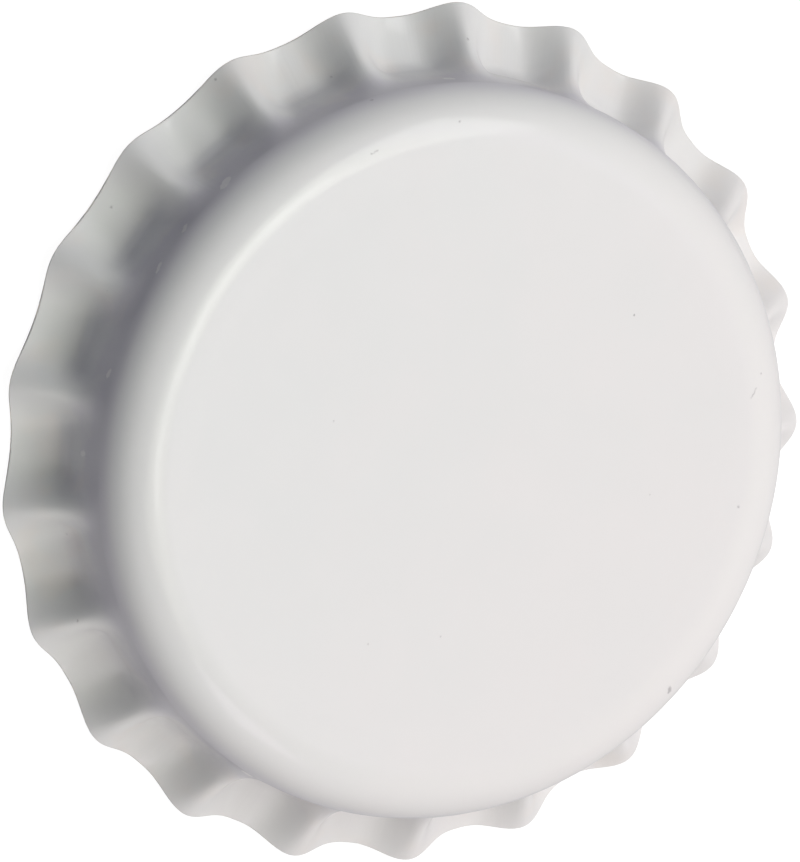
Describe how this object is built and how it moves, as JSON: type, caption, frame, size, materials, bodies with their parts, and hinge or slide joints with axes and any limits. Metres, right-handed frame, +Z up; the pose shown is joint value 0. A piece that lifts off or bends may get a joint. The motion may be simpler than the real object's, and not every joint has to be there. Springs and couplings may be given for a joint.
{
  "type": "crown bottle cap",
  "caption": "Pressed steel crown cap for a glass bottle, with a flat round panel, a rounded shoulder, a flared fluted skirt and a moulded sealing liner inside.",
  "frame": {"origin": "centre of the rim's plane, which is the plane that the cap stands on", "axes": "+Z up the cap's axis, from the rim to the outside of the panel; +X through the crest of one flute"},
  "size_m": [0.0319, 0.032, 0.0057],
  "materials": {
    "lacquered_steel": "gloss",
    "liner_compound": "satin"
  },
  "bodies": {
    "root": {"crown_shell": "lacquered_steel", "sealing_liner": "liner_compound"}
  },
  "joints": []
}
